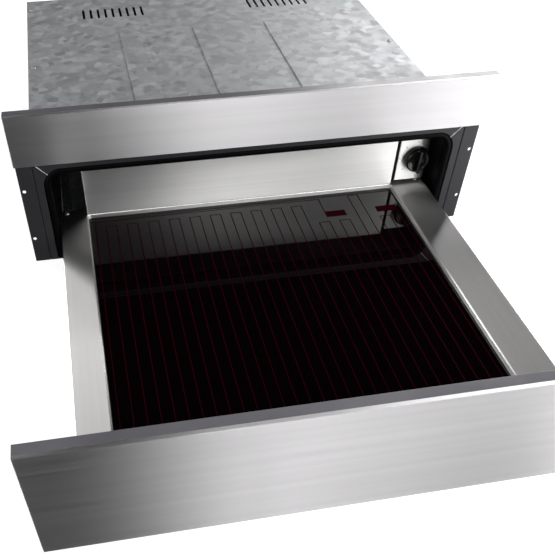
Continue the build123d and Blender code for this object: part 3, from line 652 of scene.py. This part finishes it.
def cut_out(mesh, cutter):
    """What is left of a mesh when a cutter is taken out of it."""
    whole = bpy.data.objects.new("whole", mesh)
    tool = bpy.data.objects.new("tool", cutter)
    for thing in (whole, tool):
        scene.collection.objects.link(thing)
    taking = whole.modifiers.new("taking", "BOOLEAN")
    taking.object = tool
    taking.use_self = True
    graph = bpy.context.evaluated_depsgraph_get()
    result = bpy.data.meshes.new_from_object(whole.evaluated_get(graph))
    for thing in (whole, tool):
        bpy.data.objects.remove(thing)
    return result


cross = crossed_cutter(reach=1.7 * MM, width=0.8 * MM, top=2.0 * MM, bottom=0.7 * MM)
print("faces of the cutter:", len(cross.polygons))

# %% [markdown]
# The dome and the threaded shank are one turned profile, from the top of the head down to the tip. A thread
# is really a helix, but one this small looks the same as a row of rings. Each screw came to rest at its own
# angle when it was driven in, so no two crosses stand alike.

# %% Cover screws
head_high = 1.6 * MM
screw_head = [(0, 1.6), (1.2, 1.58), (2.1, 1.46), (2.75, 1.15), (3.1, 0.7), (3.2, 0.3), (3.2, 0), (1.6, 0)]
thread = [(1.6 if ring % 2 else 1.3, -0.3 - 0.3 * ring) for ring in range(11)]
screw_tip = [(0.8, -3.6), (0, -3.6)]
resting_angles = (0.3, 1.1, 0.8, 0.1, 1.4, 0.6)  # in radians

screw = cut_out(turned("screw", in_metres(screw_head + thread + screw_tip)), cross)
screws = [
    (screw, seat @ Matrix.Rotation(angle, 4, "Z"))
    for seat, angle in zip(seats_of("cover_screws", head_high), resting_angles)
]
screws_mesh = joined("cover_screws", screws)
put_in("cover_screws_cross_recess", screws_mesh, "fastener_steel", "case", "cover_screws")

# %% [markdown]
# ## Blind rivets in the deck
# The deck is joined to its pan by one blind rivet in each rear corner. Such a rivet is a hollow dome: the pin
# that swelled its far end has broken off below the surface, which leaves a small dark well. That is one
# profile again.

# %% Deck rivets
rivet_well = [(0, 0.4), (0.85, 0.4), (0.85, 1.3)]
rivet_dome = [(1.05, 1.52), (1.5, 1.6), (2.2, 1.42), (2.8, 1.0), (3.15, 0.45), (3.2, 0.15), (3.2, 0)]
rivet_shank = [(1.6, 0), (1.6, -1.9), (1.75, -2.1), (1.6, -2.4), (0, -2.4)]
rivet = turned("rivet", in_metres(rivet_well + rivet_dome + rivet_shank))
rivets_mesh = joined("deck_rivets", [(rivet, seat) for seat in seats_of("deck_rivets", head_high)])
put_in("deck_rivets_domed", rivets_mesh, "fastener_steel", "drawer", "deck_rivets")

# %% [markdown]
# ## The knob
# The knob is a moulded disc with a bar across it to grip. The disc is turned: from the hole for the shaft
# round the back edge, up the side, and over the rounded rim into the hollow of the face.

# %% The knob's disc
low, high = box_of("knob")
knob_middle = (low + high) / 2
knob_radius = (high.x - low.x) / 2
knob_depth = high.y - low.y
disc_depth = 11.0 * MM
shaft_hole = 3.1 * MM
hole_depth = disc_depth * 0.5

disc_shares = [  # of the knob's radius and of the disc's depth
    (0.88, 0), (0.97, 0.03), (1.0, 0.12), (0.992, 0.55), (0.975, 0.78), (0.93, 0.94), (0.87, 1.0),
    (0.80, 0.985), (0.76, 0.955), (0.30, 0.93), (0, 0.93),
]
disc_profile = [(0, hole_depth), (shaft_hole, hole_depth), (shaft_hole, 0)]
disc_profile += [(knob_radius * across, disc_depth * along) for across, along in disc_shares]
disc = turned("disc", disc_profile, steps=96)
print("knob across and deep, in mm:", round(2 * knob_radius / MM, 1), round(knob_depth / MM, 1))

# %% [markdown]
# The mould has to let go of the knob, so the grip bar narrows towards its top, and every edge is rounded. It
# could be a box with bevelled edges. A stack of outlines, each one a little smaller than the one below, gives
# the draft, the hollow sides and the soft edges in one go.

# %% The knob's grip bar
grip_levels = [  # share of the height above the disc, of the length and of the width
    (-0.25, 0.955, 1.10), (0.0, 0.955, 1.10), (0.05, 0.95, 1.0), (0.3, 0.945, 0.90), (0.6, 0.935, 0.84),
    (0.82, 0.925, 0.84), (0.93, 0.905, 0.78), (0.98, 0.87, 0.62), (1.0, 0.80, 0.36),
]
grip_half_wide = 3.5 * MM
grip_foot = disc_depth * 0.95
side_curve, end_curve = 0.55, 0.9  # 1 would give an ellipse; below 1 the sides and ends are fuller


def grip_outline(half_long, half_wide, height, steps=64):
    """A rounded bar seen from above, with full sides and rounder ends."""
    points = []
    for step in range(steps):
        angle = 2 * math.pi * step / steps
        x = half_wide * math.copysign(abs(math.cos(angle)) ** side_curve, math.cos(angle))
        y = half_long * math.copysign(abs(math.sin(angle)) ** end_curve, math.sin(angle))
        points.append((x, y, height))
    return points


corners = []
for share, long_share, wide_share in grip_levels:
    height = grip_foot + share * (knob_depth - grip_foot)
    corners += grip_outline(knob_radius * long_share, grip_half_wide * wide_share, height)
count = len(corners) // len(grip_levels)
faces = [tuple(range(count))[::-1], tuple(range(len(corners) - count, len(corners)))]
for level in range(len(grip_levels) - 1):
    for step in range(count):
        here, there = level * count + step, level * count + (step + 1) % count
        faces.append((here, there, there + count, here + count))
grip = mesh_from("grip", corners, faces)
plate_middle = (knob_middle.x, high.y, knob_middle.z)
on_the_plate = Matrix.Translation(plate_middle) @ Matrix.Rotation(math.pi / 2, 4, "X")
knob_mesh = joined("knob_shape", [(disc, on_the_plate), (grip, on_the_plate)])
put_in("knob_with_grip", knob_mesh, "knob_black", "knob", "knob")

# %% [markdown]
# ## The wool under the heater
# The mat below the heater is glass wool stitched between two cloths. Stitching pulls it in along a grid of
# seams, and between the seams the wool swells up to the spreader above. A cloth simulation could blow it up,
# but the mat lies between two flat sheets, so its shape is known: a grid of vertices whose height falls at
# each seam. First comes the grid. It has a pocket for the thermal cut-out, and two of its lines each way run
# along the pocket's edges.

# %% Where the wool lies
low, high = box_of("insulation_mat")
pocket_low, pocket_high = box_of("thermal_cutout")
pocket_room = 3.0 * MM
seams_across, seams_along = 8, 8
lines_per_seam = 8
too_close = 1.5 * MM  # an even line that is nearer to the pocket's edge than this is left out


def grid_lines(start, end, seams, extra):
    """Even lines from start to end, with two more where the pocket begins and ends."""
    gaps = seams * lines_per_seam
    even = [start + (end - start) * index / gaps for index in range(gaps + 1)]
    kept = [line for line in even if all(abs(line - other) > too_close for other in extra)]
    return sorted(kept + list(extra))


pocket_x = (pocket_low.x - pocket_room, pocket_high.x + pocket_room)
pocket_y = (pocket_low.y - pocket_room, pocket_high.y + pocket_room)
lines_x = grid_lines(low.x, high.x, seams_across, pocket_x)
lines_y = grid_lines(low.y, high.y, seams_along, pocket_y)


def in_pocket(column, row):
    """True for a square of the grid that lies in the pocket of the thermal cut-out."""
    middle_x = (lines_x[column] + lines_x[column + 1]) / 2
    middle_y = (lines_y[row] + lines_y[row + 1]) / 2
    return pocket_x[0] < middle_x < pocket_x[1] and pocket_y[0] < middle_y < pocket_y[1]


squares = {
    (column, row)
    for column in range(len(lines_x) - 1)
    for row in range(len(lines_y) - 1)
    if not in_pocket(column, row)
}
print("squares of wool:", len(squares))

# %% [markdown]
# Each crossing of the lines gets a vertex on the pan and one above it, as high as the wool is there. Every
# square then gets a top and a bottom, and a wall wherever there is no square beside it.

# %% The quilted wool mat
hem_share, seam_share = 0.3, 0.42  # thickness at the hem and on a seam, as shares of the full one
swell_curve, swell_gain = 0.4, 1.12  # how steeply the wool rises from a seam, and how soon it is full


def wool_height(x, y):
    """How thick the mat is at a place: full between the seams and thin on them."""
    along_x = abs(math.sin(math.pi * seams_across * (x - low.x) / (high.x - low.x)))
    along_y = abs(math.sin(math.pi * seams_along * (y - low.y) / (high.y - low.y)))
    swell = min(1.0, (along_x * along_y) ** swell_curve * swell_gain)
    return (high.z - low.z) * (seam_share + (1 - seam_share) * swell)


corners, top_of, bottom_of = [], {}, {}
for column, x in enumerate(lines_x):
    for row, y in enumerate(lines_y):
        at_hem = column in (0, len(lines_x) - 1) or row in (0, len(lines_y) - 1)
        thick = (high.z - low.z) * hem_share if at_hem else wool_height(x, y)
        top_of[column, row] = len(corners)
        corners.append((x, y, low.z + thick))
        bottom_of[column, row] = len(corners)
        corners.append((x, y, low.z))

faces = []
for column, row in sorted(squares):
    ring = [(column, row), (column + 1, row), (column + 1, row + 1), (column, row + 1)]
    faces.append(tuple(top_of[corner] for corner in ring))
    faces.append(tuple(bottom_of[corner] for corner in reversed(ring)))
    beside = [(column, row - 1), (column + 1, row), (column, row + 1), (column - 1, row)]
    for index, neighbour in enumerate(beside):
        if neighbour not in squares:
            start, end = ring[index], ring[(index + 1) % 4]
            faces.append((top_of[start], bottom_of[start], bottom_of[end], top_of[end]))
mat = put_in("quilted_wool", mesh_from("quilted_wool", corners, faces), "wool", "drawer", "insulation_mat")

# %% [markdown]
# ## The latch spring
# A spring in the push latch sends the closed drawer out again. It is a wire wound into a helix, and its end
# turns lie close together so that it stands square. A curve with a bevel would draw it too. We sweep a circle
# along the helix ourselves, because then one line of arithmetic can close up the coils towards both ends.

# %% Latch spring
low, high = box_of("push_latch_spring")
middle_x, middle_z = (low.x + high.x) / 2, (low.z + high.z) / 2
wire = 0.35 * MM
coil = (high.x - low.x) / 2 - wire
long_way = high.y - low.y - 2 * wire
coils, steps_per_coil, round_wire = 8, 32, 10
crowding = 0.7  # how far the end turns close up: 0 leaves an even pitch
steps = coils * steps_per_coil

corners = []
for step in range(steps + 1):
    share = step / steps
    angle = 2 * math.pi * coils * share
    forward = share - crowding * math.sin(2 * math.pi * share) / (2 * math.pi)
    outwards = Vector((math.cos(angle), 0, math.sin(angle)))
    centre = Vector((middle_x, low.y + wire + forward * long_way, middle_z)) + outwards * coil
    for turn in range(round_wire):
        around = 2 * math.pi * turn / round_wire
        sideways = outwards * wire * math.cos(around)
        lengthways = Vector((0, wire * math.sin(around), 0))
        corners.append(tuple(centre + sideways + lengthways))
faces = [tuple(range(round_wire)), tuple(range(len(corners) - round_wire, len(corners)))[::-1]]
for step in range(steps):
    for turn in range(round_wire):
        here, beside = step * round_wire + turn, step * round_wire + (turn + 1) % round_wire
        faces.append((here, beside, beside + round_wire, here + round_wire))
spring = mesh_from("coiled_spring", corners, faces)
put_in("coiled_spring", spring, "fastener_steel", "case", "push_latch_spring")

# %% [markdown]
# ## The studio
# Polished metal shows its surroundings more than itself, so the room is part of the finish. A white
# background all round would make every sheet of steel white. Photographers do the opposite: they work in a
# dark room and place lit panels where a surface should turn bright, and the steel stays dark where it mirrors
# nothing. The background here is white for the camera alone, and lights nothing. The floor is grey but glows,
# so that it comes out as white as the background, and the steel doesn't mirror it.

# %% Background and floor
white = (1, 1, 1, 1)
scene.view_settings.view_transform = "Standard"
world = bpy.data.worlds.new("surroundings")
scene.world = world
world.use_nodes = True
background = world.node_tree.nodes["Background"]
background.inputs["Color"].default_value = white
background.inputs["Strength"].default_value = 1.0
world.cycles_visibility.diffuse = False
world.cycles_visibility.glossy = False


def give_light(shader, strength):
    """Lets a surface give white light."""
    shader.inputs["Emission Color"].default_value = white
    shader.inputs["Emission Strength"].default_value = strength


def on_stage(name, corners, faces):
    """A mesh that belongs to the studio, in the finish of the same name."""
    mesh = bpy.data.meshes.new(name)
    mesh.from_pydata(corners, [], faces)
    mesh.materials.append(finishes[name])
    thing = bpy.data.objects.new(name, mesh)
    scene.collection.objects.link(thing)
    thing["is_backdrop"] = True
    return thing


def stage_count():
    """How many pieces the studio has."""
    return sum(1 for thing in scene.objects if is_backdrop(thing))


floor_reach = 20.0
floor_below = 0.5 * MM
floor_glow = 0.88
grit_scale = 5.0
darker_grey, grey, lighter_grey = (0.34, 0.34, 0.34), (0.35, 0.35, 0.35), (0.36, 0.36, 0.36)
tree, shader = finish("floor", grey, 0.8)
give_light(shader, floor_glow)
grit = speckle(tree, own_space(tree), grit_scale)
tree.links.new(two_tones(tree, grit, darker_grey, lighter_grey), shader.inputs["Base Color"])
floor = on_stage("floor", [(x * floor_reach, y * floor_reach, 0) for x, y in square], [(0, 1, 2, 3)])
floor.location.z = -floor_below
floor.visible_glossy = floor.visible_shadow = False
print("stage pieces so far:", stage_count())

# %% [markdown]
# ## The light panels
# A panel could be an area light, but an area light is flat and has one size. A mesh that glows can be a piece
# of a far dome, so that its light reaches every part of the drawer from the same direction and lights each
# sheet evenly. The camera doesn't see the panels, and they throw no shadows. Each one stands where some
# sheet of steel mirrors it towards the camera.

# %% Panels on the far dome
dome_radius = 12.0
dome_columns, dome_rows = 6, 4


def glowing(name, corners, faces, strength):
    """A panel that gives light but isn't seen itself."""
    _, shader = finish(name, (0, 0, 0), 1.0)
    shader.inputs["Specular IOR Level"].default_value = 0.0
    give_light(shader, strength)
    panel = on_stage(name, corners, faces)
    panel.visible_camera = panel.visible_shadow = False


def dome_panel(name, turns, heights, strength):
    """A piece of the dome between two azimuths and two heights, in degrees. 0 is behind, 90 to the right."""
    corners, faces = [], []
    for column in range(dome_columns + 1):
        turn = math.radians(turns[0] + (turns[1] - turns[0]) * column / dome_columns)
        for row in range(dome_rows + 1):
            rise = math.radians(heights[0] + (heights[1] - heights[0]) * row / dome_rows)
            flat = dome_radius * math.cos(rise)
            corners.append((flat * math.sin(turn), flat * math.cos(turn), dome_radius * math.sin(rise)))
    for column in range(dome_columns):
        for row in range(dome_rows):
            here = column * (dome_rows + 1) + row
            there = here + dome_rows + 1
            faces.append((here, here + 1, there + 1, there))
    glowing(name, corners, faces, strength)


# Each panel has its name, its two azimuths, its two heights and its strength.
dome_panel("front_low", (150, 170), (8, 25), 4.9)
dome_panel("front_up", (160, 170), (25, 45), 6.3)
dome_panel("front_level", (170, 180), (-10, 8), 4.4)
dome_panel("front_high", (163, 172), (45, 67), 9.0)
dome_panel("left_low", (200, 250), (-10, 25), 4.7)
dome_panel("left_rear_low", (310, 330), (8, 25), 11.0)
dome_panel("left_rear_up", (310, 330), (25, 45), 2.8)
dome_panel("rear_high", (330, 345), (45, 65), 2.5)
dome_panel("right_rear_low", (20, 40), (8, 25), 12.5)
dome_panel("right_rear_level", (38, 56), (-16, 1), 12.0)
dome_panel("left_rear_level", (304, 322), (-16, 1), 12.0)
dome_panel("right_high", (60, 90), (45, 68), 9.0)
print("stage pieces with the dome:", stage_count())

# %% [markdown]
# The other panels stand close by, in front and to the right. Each end of the long front sees them at a
# different angle, which gives it its slow change from dark to bright.


# %% Panels close by
def upright_panel(name, start, end, heights, strength):
    """A flat upright panel near the drawer, from one point of the floor plan to another."""
    corners = [(*start, heights[0]), (*end, heights[0]), (*end, heights[1]), (*start, heights[1])]
    glowing(name, corners, [(0, 1, 2, 3)], strength)


# Each panel has its name, its two ends on the floor plan, its two heights and its strength.
upright_panel("close_left", (0.0, -0.95), (0.6, -0.95), (0.1, 0.7), 2.7)
upright_panel("close_middle", (0.6, -0.95), (0.8, -0.95), (-0.5, 0.7), 3.9)
upright_panel("close_right", (1.0, -0.95), (1.6, -0.95), (-0.5, 0.7), 7.0)
upright_panel("beside_far", (0.8, -0.9), (0.8, -0.6), (-0.3, 0.7), 4.0)
upright_panel("beside_near", (0.8, -0.6), (0.8, -0.3), (-0.3, 0.7), 9.0)
print("stage pieces:", stage_count())

# %% [markdown]
# The black glass would mirror the trim above the mouth as a bright bar. A photographer would flag it off with
# a black card; here the trim is simply hidden from reflections.

# %% Hide the trim from reflections
trim_nodes = [name for name in frame["nodes"] if name.startswith("upper_trim")]
for name in trim_nodes:
    frame["nodes"][name].visible_glossy = False
print("hidden from reflections:", *trim_nodes)

# %% [markdown]
# ## Sizes, and the end
# The box of everything that shows is compared with the box of the imported model, and the largest
# difference between their sides is printed. The box of everything that shows must stay inside the box of the
# imported model.

# %% Compare the sizes
seen_low, seen_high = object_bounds()
packed_sides, seen_sides = [*cad_low, *cad_high], [*seen_low, *seen_high]
largest = max(abs(seen - packed) for seen, packed in zip(seen_sides, packed_sides))
print("largest difference in mm:", round(largest / MM, 2))
